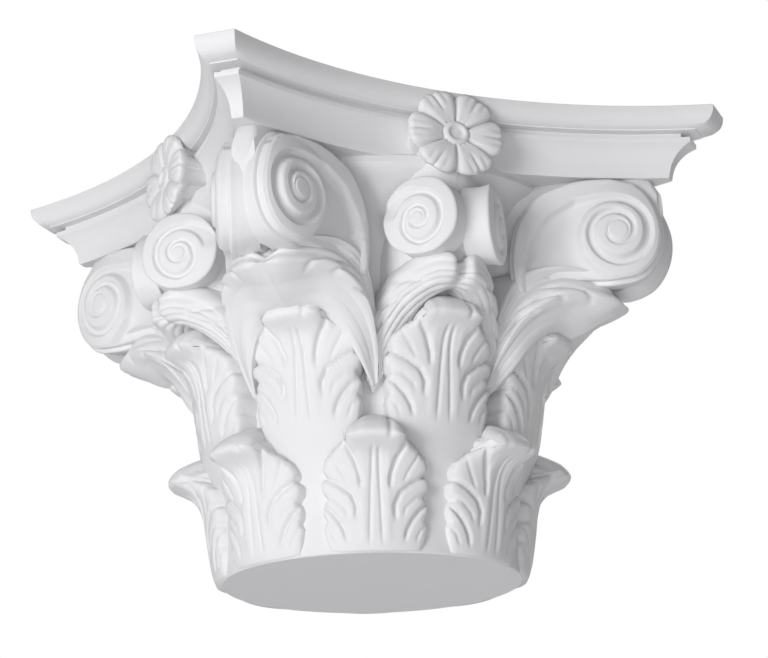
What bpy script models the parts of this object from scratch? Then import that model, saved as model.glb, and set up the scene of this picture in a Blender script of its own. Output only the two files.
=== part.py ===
"""Corinthian capital, cast as one solid piece.

Eight lower and eight upper acanthus leaves stand round a bell. Calyx leaves rise between
the upper leaves, sweep to the corners and to the middle of each side, and carry the corner
volutes and the smaller helices. A moulded abacus with hollow sides, cut corners and a
flower on each side closes the top.

The origin is the centre of the underside, +Z is up, and the sides of the abacus face
+X, -X, +Y and -Y. Sizes are in millimetres and turn into metres as each mesh is made.
"""

import math

import bmesh
import bpy
from mathutils import Matrix, Vector

MM = 0.001

# Driving dimensions
HEIGHT = 300.0
BASE_RADIUS = 101.0
CORNER_REACH = 255.9
CHAMFER_HALF_WIDTH = 13.8
SIDE_HOLLOW = 45.4
ABACUS_UNDERSIDE = 256.0
LIP_RADIUS = 136.0
LEAF_COUNT = 8
UPPER_ROW_RISE = 80.0
UPPER_ROW_PROUD = 8.5
SINK = 4.0

# Bell: radius and height up its side, from below the cut underside to inside the abacus
BELL_PROFILE = (
    (BASE_RADIUS, -2 * SINK),
    (103.0, 95.0),
    (107.0, 185.0),
    (133.0, 245.0),
    (LIP_RADIUS, 250.5),
    (120.0, 263.5),
)
BELL_SEGMENTS = 24

# Abacus moulding: how far each edge lies inside the top edge at a cut corner, and its
# height; along the hollow sides the edges lie in by SIDE_INSET of that
SIDE_INSET = 0.57
ABACUS_PROFILE = (
    (35.5, ABACUS_UNDERSIDE),
    (32.5, 267.0),
    (26.5, 275.0),
    (17.5, 278.5),
    (16.5, 284.5),
    (4.0, 291.5),
    (0.0, HEIGHT),
)
SIDE_SEGMENTS = 6

# Acanthus leaf: radius and height up its midrib, over the tip and back to the bell,
# with the half width of the leaf there
LEAF_SPINE = (
    (104.5, -SINK, 33.5),
    (111.5, 24.0, 36.5),
    (113.5, 45.0, 30.5),
    (117.5, 57.0, 33.0),
    (126.0, 66.0, 20.0),
    (134.0, 70.5, 18.0),
    (134.5, 78.0, 19.0),
    (124.0, 90.0, 16.0),
    (98.0, 96.0, 8.0),
)
# How far across the half width each fold line lies, and its depth below the midrib
LEAF_FOLDS = ((0.0, 0.0), (0.33, 3.4), (0.66, 0.4), (1.0, 6.0))
FLUTE_FADE = (0.2, 1.0, 1.0, 1.0, 0.7, 0.4, 0.4, 0.5, 0.5)
LEAF_BACK = 90.0
LEAF_ANGLE_RADIUS = 112.0

# Calyx leaves, on one side of the middle: distance out from the axis along the corner's
# diagonal or the side's normal, distance sideways from it, and height
CORNER_INNER = (
    (130.0, 0.0, 158.0), (127.0, 14.0, 154.0), (115.0, 31.0, 138.5), (97.0, 40.0, 108.0),
)
CORNER_MIDDLE = (
    (183.0, 0.0, 152.0), (172.0, 24.0, 153.0), (140.0, 50.0, 141.0), (98.0, 41.0, 109.0),
)
CORNER_OUTER = (
    (190.0, 0.0, 191.0), (173.0, 24.0, 187.0), (138.0, 42.0, 173.0), (97.5, 42.0, 111.0),
)
FACE_INNER = (
    (150.0, 0.0, 167.0), (131.0, 14.0, 165.0), (107.0, 33.0, 150.0), (96.0, 40.0, 108.0),
)
FACE_MIDDLE = (
    (166.0, 0.0, 170.0), (146.0, 19.0, 171.5), (117.0, 39.0, 158.0), (97.5, 41.0, 109.0),
)
FACE_OUTER = (
    (156.0, 0.0, 186.0), (141.0, 13.0, 190.0), (115.0, 34.0, 172.0), (96.5, 42.0, 111.0),
)
CORNER_CURVES = (CORNER_INNER, CORNER_MIDDLE, CORNER_OUTER)
FACE_CURVES = (FACE_INNER, FACE_MIDDLE, FACE_OUTER)
CORNER_ROWS = (0.0, 0.35, 0.7, 1.0)
FACE_ROWS = (0.0, 0.5, 1.0)
CALYX_BACK = 84.0
CALYX_BACK_WIDTH = 0.85

# Stalk that sweeps over into the volute: corners of its outline about the eye, clockwise
# from below, and how far its face and the step round the disc lie behind the eye
STALK_OUTLINE = (
    (-18.0, -33.0), (-52.0, -50.0), (-73.0, -54.0), (-72.0, -16.0), (-63.0, 11.0),
    (-44.0, 29.0), (-18.0, 36.5),
)
STALK_FACE = 4.5
STALK_STEP = 7.5

# Volutes and helices: place of the eye on the side that faces -Y, the turn of the disc
# from that side's normal, and the disc's sizes
VOLUTE = {
    "eye": (112.5, -158.0, 215.0), "turn": 27.0, "radius": 28.6, "eye_radius": 7.0,
    "thickness": 21.0, "fall": (5.0, 3.0), "groove": 2.8, "roll": 1.0,
    "bearings": (0, 34, 68, 102, 136, 170), "stalk": STALK_OUTLINE,
    "spiral": ((0.0, 21.8), (0.25, 19.6), (0.5, 18.2), (0.75, 15.6), (1.0, 12.2), (1.3, 9.2)),
}
HELIX = {
    "eye": (33.6, -149.9, 207.9), "turn": -52.0, "radius": 24.5, "eye_radius": 5.6,
    "thickness": 15.0, "fall": (1.5, 0.5), "groove": 2.0, "roll": -1.0,
    "bearings": tuple(range(0, 360, 36)), "stalk": (),
    "spiral": ((0.0, 18.0), (0.25, 16.4), (0.5, 15.4), (0.75, 11.4), (1.0, 9.0), (1.3, 7.2)),
}
VERTICAL_STRETCH = 1.08

# Neck that ties a helix to the bell: its depth and radius behind the disc, then its
# distance out, sideways, height and radius inside the bell
NECK_FRONT = (-16.0, 17.5)
NECK_BACK = (92.0, 36.0, 202.0, 23.0)

# Solid between the two volutes of a corner: distance out, half width, lowest and highest
CORE_STATIONS = (
    (94.0, 42.0, 187.0, 244.0), (150.0, 29.0, 188.0, 263.0), (186.0, 16.0, 190.0, 263.0),
    (203.0, 10.5, 196.0, 262.0), (210.0, 8.5, 206.0, 246.0),
)

# Flower on each side of the abacus
FLOWER_HEIGHT = 272.0
FLOWER_PETALS = 6
FLOWER_RADIUS = 31.5
FLOWER_VALLEY_RADIUS = 25.0
BUTTON_RADIUS = 8.0
FLOWER_RINGS = ((BUTTON_RADIUS, 153.0), (BUTTON_RADIUS + 3.0, 146.5))
FLOWER_EDGE_REACH = 151.0
FLOWER_BACK = 104.0

BODY_COLOUR = (0.86, 0.855, 0.87, 1.0)
BODY_ROUGHNESS = 0.62


def clear_scene():
    """Removes every object, so that a rerun starts empty."""
    for item in list(bpy.data.objects):
        bpy.data.objects.remove(item, do_unlink=True)


def body_material():
    """Matt white primer."""
    material = bpy.data.materials.new("white_primer")
    material.use_nodes = True
    shader = material.node_tree.nodes["Principled BSDF"]
    shader.inputs["Base Color"].default_value = BODY_COLOUR
    shader.inputs["Roughness"].default_value = BODY_ROUGHNESS
    shader.inputs["Metallic"].default_value = 0.0
    return material


def on_ray(azimuth, out, sideways, height):
    """Point at a distance out along an azimuth in degrees, sideways from it, at a height."""
    turn = math.radians(azimuth)
    return Vector((
        out * math.cos(turn) - sideways * math.sin(turn),
        out * math.sin(turn) + sideways * math.cos(turn),
        height,
    ))


def between(low, high, share):
    return low + (high - low) * share


def add_grid(mesh, rows):
    """Adds a sheet of quads and returns its vertices row by row."""
    verts = [[mesh.verts.new(point * MM) for point in row] for row in rows]
    for low, high in zip(verts, verts[1:]):
        for i in range(len(low) - 1):
            mesh.faces.new((low[i], low[i + 1], high[i + 1], high[i]))
    return verts


def add_strip(mesh, first, second):
    for i in range(len(first) - 1):
        mesh.faces.new((first[i], first[i + 1], second[i + 1], second[i]))


def add_shell(mesh, front, back):
    """Closed solid between a front sheet and a back sheet of the same layout."""
    near = add_grid(mesh, front)
    far = add_grid(mesh, back)
    add_strip(mesh, near[0], far[0])
    add_strip(mesh, near[-1], far[-1])
    add_strip(mesh, [row[0] for row in near], [row[0] for row in far])
    add_strip(mesh, [row[-1] for row in near], [row[-1] for row in far])


def add_loft(mesh, loops):
    """Closed solid through a stack of loops, capped at both ends."""
    rings = [[mesh.verts.new(point * MM) for point in loop] for loop in loops]
    for low, high in zip(rings, rings[1:]):
        for i in range(len(low)):
            j = (i + 1) % len(low)
            mesh.faces.new((low[i], low[j], high[j], high[i]))
    for ring, loop in ((rings[0], loops[0]), (rings[-1], loops[-1])):
        middle = mesh.verts.new(sum(loop, Vector()) / len(loop) * MM)
        for i in range(len(ring)):
            mesh.faces.new((ring[i], ring[(i + 1) % len(ring)], middle))


def make_object(name, mesh, material):
    """Turns a bmesh of closed shells into an object whose faces point outward."""
    bmesh.ops.triangulate(mesh, faces=mesh.faces)
    bmesh.ops.recalc_face_normals(mesh, faces=mesh.faces)
    data = bpy.data.meshes.new(name)
    mesh.to_mesh(data)
    mesh.free()
    data.materials.append(material)
    item = bpy.data.objects.new(name, data)
    bpy.context.scene.collection.objects.link(item)
    return item


def bell(material):
    """Turned core with its lip under the abacus."""
    mesh = bmesh.new()
    step = 360.0 / BELL_SEGMENTS
    add_loft(mesh, [
        [on_ray(step * (i + 0.5), radius, 0.0, height) for i in range(BELL_SEGMENTS)]
        for radius, height in BELL_PROFILE
    ])
    return make_object("capital", mesh, material)


def abacus_loop(inset, height):
    """One edge of the moulding: four hollow sides and four cut corners."""
    half = (CORNER_REACH + CHAMFER_HALF_WIDTH) * math.sqrt(0.5)
    side_out = (CORNER_REACH - CHAMFER_HALF_WIDTH) * math.sqrt(0.5)
    chord_out, chord_half = max(half, side_out), min(half, side_out)
    radius = (chord_half ** 2 + SIDE_HOLLOW ** 2) / (2.0 * SIDE_HOLLOW)
    centre_out = chord_out - SIDE_HOLLOW + radius
    arc = radius + inset * SIDE_INSET
    reach = CORNER_REACH - inset
    # the arc about (centre_out, 0) meets the cut corner, the line x + y = reach * sqrt(2)
    line = reach * math.sqrt(2.0) - centre_out
    across = (line + math.sqrt(2.0 * arc ** 2 - line ** 2)) / 2.0
    end = math.asin(across / arc)
    loop = []
    for side in range(4):
        for i in range(SIDE_SEGMENTS + 1):
            turn = end * (2.0 * i / SIDE_SEGMENTS - 1.0)
            loop.append(on_ray(90.0 * side, centre_out - arc * math.cos(turn), arc * math.sin(turn), height))
    return loop


def abacus(material):
    mesh = bmesh.new()
    add_loft(mesh, [abacus_loop(inset, height) for inset, height in ABACUS_PROFILE])
    return make_object("abacus", mesh, material)


def spine_normals(spine):
    """Outward normal at each spine point, in radius and height."""
    normals = []
    last = len(spine) - 1
    for i in range(len(spine)):
        ahead, behind = spine[min(i + 1, last)], spine[max(i - 1, 0)]
        along = Vector((ahead[0] - behind[0], ahead[1] - behind[1])).normalized()
        normals.append(Vector((along.y, -along.x)))
    return normals


def add_leaf(mesh, azimuth, spine, back_radius):
    """One leaf: midrib, a flute on each side, the lobes, and the tip that curls over."""
    normals = spine_normals(spine)
    folds = [(-share, depth) for share, depth in LEAF_FOLDS[:0:-1]] + list(LEAF_FOLDS)
    front, back = [], []
    low, high = spine[0][1], spine[-1][1]
    for i, (radius, height, half) in enumerate(spine):
        near, far = [], []
        for share, depth in folds:
            fall = depth if abs(share) == 1.0 else depth * FLUTE_FADE[i]
            out = radius - normals[i].x * fall
            up = height - normals[i].y * fall
            turn = azimuth + math.degrees(share * half / LEAF_ANGLE_RADIUS)
            near.append(on_ray(turn, out, 0.0, up))
            level = between(low, high, i / (len(spine) - 1))
            far.append(on_ray(turn, back_radius, 0.0, level))
        front.append(near)
        back.append(far)
    add_shell(mesh, front, back)


def lower_leaves(material):
    mesh = bmesh.new()
    for i in range(LEAF_COUNT):
        add_leaf(mesh, (i + 0.5) * 360.0 / LEAF_COUNT, LEAF_SPINE, LEAF_BACK)
    return make_object("lower_leaves", mesh, material)


def upper_leaves(material):
    """The same leaf, higher, further out and with a longer foot."""
    raised = [
        (radius + UPPER_ROW_PROUD, height + UPPER_ROW_RISE, half)
        for radius, height, half in LEAF_SPINE[1:]
    ]
    foot = [(108.0, 62.0, 31.0)]
    mesh = bmesh.new()
    for i in range(LEAF_COUNT):
        add_leaf(mesh, i * 360.0 / LEAF_COUNT, foot + raised, LEAF_BACK - 3.0)
    return make_object("upper_leaves", mesh, material)


def add_calyx(mesh, azimuth, shares, inner, middle, outer):
    """A pair of calyx leaves that meet in the middle: each row bulges between two edges."""
    front, back = [], []
    columns = [(i, -1) for i in range(len(inner) - 1, 0, -1)] + [(i, 1) for i in range(len(inner))]
    for share in shares:
        near, far = [], []
        for i, side in columns:
            point = [
                (1 - share) ** 2 * a + 2 * share * (1 - share) * b + share ** 2 * c
                for a, b, c in zip(inner[i], middle[i], outer[i])
            ]
            near.append(on_ray(azimuth, point[0], side * point[1], point[2]))
            level = between(inner[i][2], outer[i][2], share)
            sideways = between(inner[i][1], outer[i][1], share) * CALYX_BACK_WIDTH
            far.append(on_ray(azimuth, CALYX_BACK, side * sideways, level))
        front.append(near)
        back.append(far)
    add_shell(mesh, front, back)


def calyx_leaves(name, start, shares, curves, material):
    mesh = bmesh.new()
    for side in range(4):
        add_calyx(mesh, start + 90.0 * side, shares, *curves)
    return make_object(name, mesh, material)


def spiral_radius(spiral, turns):
    """Radius of the groove after a number of turns from the top of the disc."""
    for (low, near), (high, far) in zip(spiral, spiral[1:]):
        if turns <= high:
            return between(near, far, (turns - low) / (high - low))
    return spiral[-1][1]


def disc_column(disc, share):
    """Radius and height of the spiral's folds along one ray, from the eye to the rim."""
    column = [(disc["eye_radius"], 0.0)]
    for turns in (share + 1.0, share):
        if turns > disc["spiral"][-1][0]:
            continue
        radius = spiral_radius(disc["spiral"], turns)
        if radius > column[-1][0] + 1.0:
            column.append((radius, -disc["groove"]))
        column.append((radius + disc["groove"] * 0.6, 0.0))
    column.append((disc["radius"], -1.5))
    return column


def disc_rays(disc):
    """Angle, share of a turn from the top, and length of the stalk along each ray."""
    rays = [(math.radians(90.0 - turn), turn / 360.0, 0.0) for turn in disc["bearings"]]
    for across, up in disc["stalk"]:
        angle = math.atan2(up / VERTICAL_STRETCH, across)
        share = (math.pi / 2.0 - angle) / (2.0 * math.pi) % 1.0
        rays.append((angle, share, math.hypot(across, up / VERTICAL_STRETCH)))
    return rays


def disc_point(disc, hand, side, across, up, above):
    """Place of a point of the disc's own plane on one of the four sides."""
    x, y, z = disc["eye"]
    turn = math.radians(-90.0 - disc["turn"])
    normal = (math.cos(turn), math.sin(turn))
    along = (-disc["roll"] * normal[1], disc["roll"] * normal[0])
    x += across * along[0] + above * normal[0]
    y += across * along[1] + above * normal[1]
    return on_ray(90.0 * side, -y, hand * x, z + up)


def zip_columns(mesh, near, far):
    """Fills the sector between two rays whose folds differ, by always taking the shorter step."""
    i = j = 0
    while i < len(near) - 1 or j < len(far) - 1:
        take_near = j == len(far) - 1 or (i < len(near) - 1 and near[i + 1][0] <= far[j + 1][0])
        if take_near:
            mesh.faces.new((near[i][1], near[i + 1][1], far[j][1]))
            i += 1
        else:
            mesh.faces.new((near[i][1], far[j + 1][1], far[j][1]))
            j += 1


def add_neck(mesh, disc, hand, side, rims):
    """Narrows the back of a helix and runs it into the bell."""
    depth, near = NECK_FRONT
    out, sideways, height, far = NECK_BACK
    rings = [rims, [], []]
    for angle, share, stalk in disc_rays(disc):
        across, up = near * math.cos(angle), near * math.sin(angle)
        rings[1].append(mesh.verts.new(disc_point(disc, hand, side, across, up, depth) * MM))
        across, up = hand * (sideways - far * math.cos(angle)), height + far * math.sin(angle)
        rings[2].append(mesh.verts.new(on_ray(90.0 * side, out, across, up) * MM))
    for first, second in zip(rings, rings[1:]):
        add_strip(mesh, first + first[:1], second + second[:1])
    return rings[2]


def add_disc(mesh, disc, hand, side):
    """Domed disc with a spiral cut in its face, and the stalk that runs into it."""
    even, lean = disc["fall"]
    columns, rims = [], []
    for angle, share, stalk in disc_rays(disc):
        places = []
        for radius, above in disc_column(disc, share):
            fall = (radius / disc["radius"]) ** 2 * (even + lean * math.cos(angle))
            places.append((radius, above - fall))
        if stalk:
            places.append((disc["radius"] + 2.0, -STALK_STEP))
            places.append((stalk, -STALK_FACE))
        places.append((places[-1][0], -disc["thickness"]))
        column = []
        for radius, above in places:
            across, up = radius * math.cos(angle), radius * VERTICAL_STRETCH * math.sin(angle)
            point = disc_point(disc, hand, side, across, up, above)
            column.append((radius, mesh.verts.new(point * MM)))
        rims.append(column.pop()[1])
        columns.append(column)
    count = len(columns)
    for i in range(count):
        j = (i + 1) % count
        zip_columns(mesh, columns[i], columns[j])
        mesh.faces.new((columns[i][-1][1], rims[i], rims[j], columns[j][-1][1]))
    mesh.faces.new([column[0][1] for column in columns])
    if not disc["stalk"]:
        rims = add_neck(mesh, disc, hand, side, rims)
    mesh.faces.new(rims)


def discs(name, disc, hand, material):
    """The discs at one hand of all four sides."""
    mesh = bmesh.new()
    for side in range(4):
        add_disc(mesh, disc, hand, side)
    return make_object(name, mesh, material)


def corner_cores(material):
    mesh = bmesh.new()
    for side in range(4):
        add_loft(mesh, [
            [on_ray(45.0 + 90.0 * side, out, across, height)
             for across, height in ((-half, low), (half, low), (half, high), (-half, high))]
            for out, half, low, high in CORE_STATIONS
        ])
    return make_object("corner_cores", mesh, material)


def add_flower(mesh, side):
    """Button in six creased petals."""
    count = 2 * FLOWER_PETALS
    azimuth = 90.0 * side
    rings = []
    for radius, reach in FLOWER_RINGS + ((FLOWER_RADIUS, FLOWER_EDGE_REACH),):
        ring = []
        for i in range(count):
            angle = 2.0 * math.pi * i / count
            crest = i % 2 == 0
            outer = radius >= 20.0
            size = radius if crest or not outer else radius * FLOWER_VALLEY_RADIUS / FLOWER_RADIUS
            depth = reach if crest or not outer else reach - 5.0
            ring.append(on_ray(azimuth, depth, size * math.cos(angle), FLOWER_HEIGHT + size * math.sin(angle)))
        rings.append(ring)
    rings.append([
        on_ray(azimuth, FLOWER_BACK, 20.0 * math.cos(2.0 * math.pi * i / count),
               FLOWER_HEIGHT + 20.0 * math.sin(2.0 * math.pi * i / count))
        for i in range(count)
    ])
    add_loft(mesh, rings)


def flowers(material):
    mesh = bmesh.new()
    for side in range(4):
        add_flower(mesh, side)
    return make_object("flowers", mesh, material)


def floor_cutter():
    """Block that trims everything off flat at the underside."""
    mesh = bmesh.new()
    size = 2.0 * CORNER_REACH
    bmesh.ops.create_cube(
        mesh, size=size * MM, matrix=Matrix.Translation((0.0, 0.0, -size * MM / 2.0))
    )
    data = bpy.data.meshes.new("underside_cutter")
    mesh.to_mesh(data)
    mesh.free()
    cutter = bpy.data.objects.new("underside_cutter", data)
    bpy.context.scene.collection.objects.link(cutter)
    return cutter


def set_aside(item):
    item.hide_render = True
    item.display_type = "WIRE"


def add_boolean(body, tool, operation):
    modifier = body.modifiers.new(tool.name, "BOOLEAN")
    modifier.operation = operation
    modifier.solver = "EXACT"
    modifier.object = tool
    set_aside(tool)


def build():
    clear_scene()
    material = body_material()
    body = bell(material)
    carving = [
        abacus(material),
        lower_leaves(material),
        upper_leaves(material),
        calyx_leaves("corner_calyx", 45.0, CORNER_ROWS, CORNER_CURVES, material),
        calyx_leaves("face_calyx", 0.0, FACE_ROWS, FACE_CURVES, material),
        corner_cores(material),
        flowers(material),
    ]
    for hand, word in ((-1, "left"), (1, "right")):
        carving.append(discs(f"{word}_volutes", VOLUTE, hand, material))
        carving.append(discs(f"{word}_helices", HELIX, hand, material))
    for item in carving:
        add_boolean(body, item, "UNION")
    add_boolean(body, floor_cutter(), "DIFFERENCE")


build()
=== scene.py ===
"""Matt white corinthian capital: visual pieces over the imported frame.

The capital is one casting. Its carving is built as closed pieces that overlap: the bell,
the abacus, two rows of acanthus leaves, the calyx leaves, the corner volutes, the helices
and the flowers. Sizes are in millimetres and turn into metres as each mesh is made. The
origin is the centre of the underside, +Z is up, and the sides face +X, -X, +Y and -Y.
"""

import logging
import math
from dataclasses import dataclass
from enum import Enum
from typing import Callable, Sequence

import bpy
import numpy as np
from mathutils import Matrix, Vector


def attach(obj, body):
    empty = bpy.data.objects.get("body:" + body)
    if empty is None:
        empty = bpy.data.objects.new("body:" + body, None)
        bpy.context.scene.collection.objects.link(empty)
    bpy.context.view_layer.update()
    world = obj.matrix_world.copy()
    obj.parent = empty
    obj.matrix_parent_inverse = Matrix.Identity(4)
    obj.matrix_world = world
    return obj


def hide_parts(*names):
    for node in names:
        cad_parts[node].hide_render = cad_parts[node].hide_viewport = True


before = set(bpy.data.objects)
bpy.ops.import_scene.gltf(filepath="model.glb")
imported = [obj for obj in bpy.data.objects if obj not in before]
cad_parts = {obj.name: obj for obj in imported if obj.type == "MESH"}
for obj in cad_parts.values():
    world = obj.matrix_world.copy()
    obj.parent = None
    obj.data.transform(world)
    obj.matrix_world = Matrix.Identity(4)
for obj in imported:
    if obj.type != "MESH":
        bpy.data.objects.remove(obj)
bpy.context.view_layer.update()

MM = 0.001
HEIGHT = 300.0
SIDES = 4
NODE = "capital"
SLOT = "white_primer"
LOG = logging.getLogger("capital")

Points = np.ndarray
Path = Sequence[tuple[float, ...]]
Span = tuple[float, float]
Place = tuple[float, float, float]
Colour = tuple[float, float, float, float]
# Path, depth and width
Groove = tuple[Path, float, float]

CURVE_STEPS = 16
MIRROR = (1.0, -1.0, 1.0)


class Winding(Enum):
    """Way that a scroll's spiral winds, as the sign of its disc's sideways direction."""

    TO_CORNER = 1.0
    TO_MIDDLE = -1.0


def on_ray(azimuth: float, out: Points, sideways: Points, height: Points) -> Points:
    """Places points by distance out along an azimuth, distance sideways and height.

    Args:
        azimuth: Direction out from the axis, in degrees.
        out: Distance out along it.
        sideways: Distance across it, anticlockwise seen from above.
        height: Height.

    Returns:
        The points, with a last axis of three.
    """
    turn = math.radians(azimuth)
    out, sideways, height = np.broadcast_arrays(out, sideways, height)
    return np.stack((
        out * math.cos(turn) - sideways * math.sin(turn),
        out * math.sin(turn) + sideways * math.cos(turn),
        height,
    ), axis=-1)


def smoothstep(low: float, high: float, value: Points) -> Points:
    """Rises smoothly from 0 at low to 1 at high."""
    share = np.clip((value - low) / (high - low), 0.0, 1.0)
    return share * share * (3.0 - 2.0 * share)


def bump(value: Points, width: float) -> Points:
    """Bell curve of height one about zero."""
    return np.exp(-(value / width) ** 2)


def angles_round(count: int) -> Points:
    """Even angles round a circle, in radians."""
    return np.arange(count) * 2.0 * math.pi / count


def flutes(count: float, share: Points) -> Points:
    """Depth, from 0 to 1, of flutes with sharp valleys spread evenly over a share."""
    return 1.0 - np.abs(np.sin(math.pi * count * share)) ** 0.5


def smooth_path(points: Path, count: int) -> Points:
    """Runs a smooth curve through points and samples it evenly along its length.

    Args:
        points: The points that the curve passes through.
        count: Number of samples.

    Returns:
        The samples, one row each.
    """
    knots = np.array(points, dtype=float)
    padded = np.vstack((2 * knots[0] - knots[1], knots, 2 * knots[-1] - knots[-2]))
    dense = []
    for i in range(len(knots) - 1):
        a, b, c, d = padded[i:i + 4]
        t = np.linspace(0.0, 1.0, CURVE_STEPS, endpoint=False)[:, None]
        dense.append(0.5 * (2 * b + (c - a) * t + (2 * a - 5 * b + 4 * c - d) * t ** 2
                            + (3 * b - a - 3 * c + d) * t ** 3))
    curve = np.vstack(dense + [knots[-1:]])
    length = np.concatenate(([0.0], np.cumsum(np.linalg.norm(np.diff(curve, axis=0), axis=1))))
    at = np.linspace(0.0, length[-1], count)
    return np.stack([np.interp(at, length, column) for column in curve.T], axis=1)


def distance_to_path(x: Points, y: Points, path: Path) -> tuple[Points, Points]:
    """Measures how far points of a plane lie from a path.

    Args:
        x: First coordinate of the points.
        y: Second coordinate of the points.
        path: Corners of the path.

    Returns:
        The distance, and how far along the path the nearest point lies, from 0 to 1.
    """
    corners = np.array(path, dtype=float)
    steps = np.linalg.norm(np.diff(corners, axis=0), axis=1)
    starts = np.concatenate(([0.0], np.cumsum(steps)))
    best = np.full(np.shape(x), np.inf)
    along = np.zeros(np.shape(x))
    for i, step in enumerate(steps):
        direction = (corners[i + 1] - corners[i]) / step
        reach = np.clip((x - corners[i][0]) * direction[0] + (y - corners[i][1]) * direction[1],
                        0.0, step)
        gap = np.hypot(x - corners[i][0] - reach * direction[0],
                       y - corners[i][1] - reach * direction[1])
        nearer = gap < best
        best = np.where(nearer, gap, best)
        along = np.where(nearer, (starts[i] + reach) / starts[-1], along)
    return best, along


def surface_normals(sheet: Points) -> Points:
    """Finds a sheet's unit normals from each point's neighbours.

    Args:
        sheet: Points, rows by columns.

    Returns:
        The normals, in the same layout.
    """
    across = np.gradient(sheet, axis=1)
    along = np.gradient(sheet, axis=0)
    normals = np.cross(across, along)
    return normals / np.maximum(np.linalg.norm(normals, axis=2, keepdims=True), 1e-9)


def set_points(mesh: bpy.types.Mesh, points: Points) -> None:
    """Moves all of a mesh's vertices to points given in millimetres."""
    mesh.vertices.foreach_set("co", (points * MM).astype(np.float32).ravel())
    mesh.update()


def select_only(pieces: Sequence[bpy.types.Object]) -> None:
    """Selects pieces alone and makes the first of them active.

    Args:
        pieces: The pieces.
    """
    bpy.ops.object.select_all(action="DESELECT")
    for piece in pieces:
        piece.select_set(True)
    bpy.context.view_layer.objects.active = pieces[0]


def face_outwards(piece: bpy.types.Object) -> None:
    """Turns the faces of a closed piece outwards.

    Args:
        piece: The piece.
    """
    select_only([piece])
    bpy.ops.object.mode_set(mode="EDIT")
    bpy.ops.mesh.select_all(action="SELECT")
    bpy.ops.mesh.normals_make_consistent(inside=False)
    bpy.ops.object.mode_set(mode="OBJECT")


def sheet_solid(name: str, front: Points, back: Points) -> bpy.types.Object:
    """Makes a closed solid from a grid: its face is shaped, and its back is extruded.

    Args:
        name: Name of the piece.
        front: Points of the face, rows by columns.
        back: Points of the flat back in the same layout.

    Returns:
        The closed piece.
    """
    rows, columns = front.shape[:2]
    bpy.ops.object.select_all(action="DESELECT")
    bpy.ops.mesh.primitive_grid_add(x_subdivisions=columns - 1, y_subdivisions=rows - 1, size=1.0)
    piece = bpy.context.active_object
    piece.name = name
    mesh = piece.data
    order = mesh.attributes.new("order", "INT", "POINT")
    order.data.foreach_set("value", np.arange(rows * columns, dtype=np.int32))
    set_points(mesh, front.reshape(-1, 3))
    bpy.ops.object.mode_set(mode="EDIT")
    bpy.ops.mesh.select_all(action="SELECT")
    bpy.ops.mesh.extrude_region_move()
    bpy.ops.object.mode_set(mode="OBJECT")
    count = len(mesh.vertices)
    moved = np.empty(count, dtype=bool)
    mesh.vertices.foreach_get("select", moved)
    index = np.empty(count, dtype=np.int32)
    mesh.attributes["order"].data.foreach_get("value", index)
    places = np.where(moved[:, None], back.reshape(-1, 3)[index], front.reshape(-1, 3)[index])
    set_points(mesh, places)
    bpy.ops.object.mode_set(mode="EDIT")
    bpy.ops.mesh.dissolve_faces()
    bpy.ops.object.mode_set(mode="OBJECT")
    mesh.attributes.remove(mesh.attributes["order"])
    face_outwards(piece)
    return piece


def ringed_solid(name: str, first: Points, rings: Points, last: Points) -> bpy.types.Object:
    """Makes a closed solid from a ball whose rings are moved into place.

    Args:
        name: Name of the piece.
        first: Point that closes the first ring.
        rings: Points, rings by points round a ring.
        last: Point that closes the last ring.

    Returns:
        The closed piece.
    """
    count, segments = rings.shape[:2]
    bpy.ops.object.select_all(action="DESELECT")
    bpy.ops.mesh.primitive_uv_sphere_add(segments=segments, ring_count=count + 1, radius=1.0)
    piece = bpy.context.active_object
    piece.name = name
    ball = np.empty(len(piece.data.vertices) * 3, dtype=np.float32)
    piece.data.vertices.foreach_get("co", ball)
    ball = ball.reshape(-1, 3)
    tilt = np.arccos(np.clip(ball[:, 2], -1.0, 1.0)) / math.pi * (count + 1)
    ring = np.rint(tilt).astype(int)
    turn = np.rint(np.arctan2(ball[:, 1], ball[:, 0]) / (2.0 * math.pi) * segments).astype(int)
    layers = np.concatenate((
        np.broadcast_to(first, (1, segments, 3)), rings, np.broadcast_to(last, (1, segments, 3)),
    ))
    set_points(piece.data, layers[ring, turn % segments])
    face_outwards(piece)
    return piece


def repeated(model: bpy.types.Object, first_turn: float, count: int,
             mirrored: bool = False) -> bpy.types.Object:
    """Copies a piece to even turns round the axis and joins the copies into one piece.

    Args:
        model: The piece to copy. The copies take its place and its name.
        first_turn: Turn of the first copy about the axis, in degrees.
        count: Number of turns.
        mirrored: Whether each turn also gets a copy mirrored across the side's middle.

    Returns:
        The copies as one piece.
    """
    name = model.name
    copies = []
    for i in range(count):
        turn = Matrix.Rotation(math.radians(first_turn + 360.0 / count * i), 4, "Z")
        for flip in ((False, True) if mirrored else (False,)):
            copy = model.copy()
            copy.data = model.data.copy()
            bpy.context.scene.collection.objects.link(copy)
            if flip:
                copy.data.transform(Matrix.Scale(-1.0, 4, (0.0, 1.0, 0.0)))
                copy.data.flip_normals()
            copy.data.transform(turn)
            copies.append(copy)
    bpy.data.objects.remove(model)
    select_only(copies)
    bpy.ops.object.join()
    piece = bpy.context.view_layer.objects.active
    piece.name = name
    piece.data.name = name
    return piece


# Angle in degrees past which an edge stays sharp, and the angle for all other pieces
SHARP_ANGLES = {"abacus": 27.0, "bell": 30.0, "lower_leaves": 85.0, "upper_leaves": 85.0}
SHARP_ANGLE = 55.0


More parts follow.
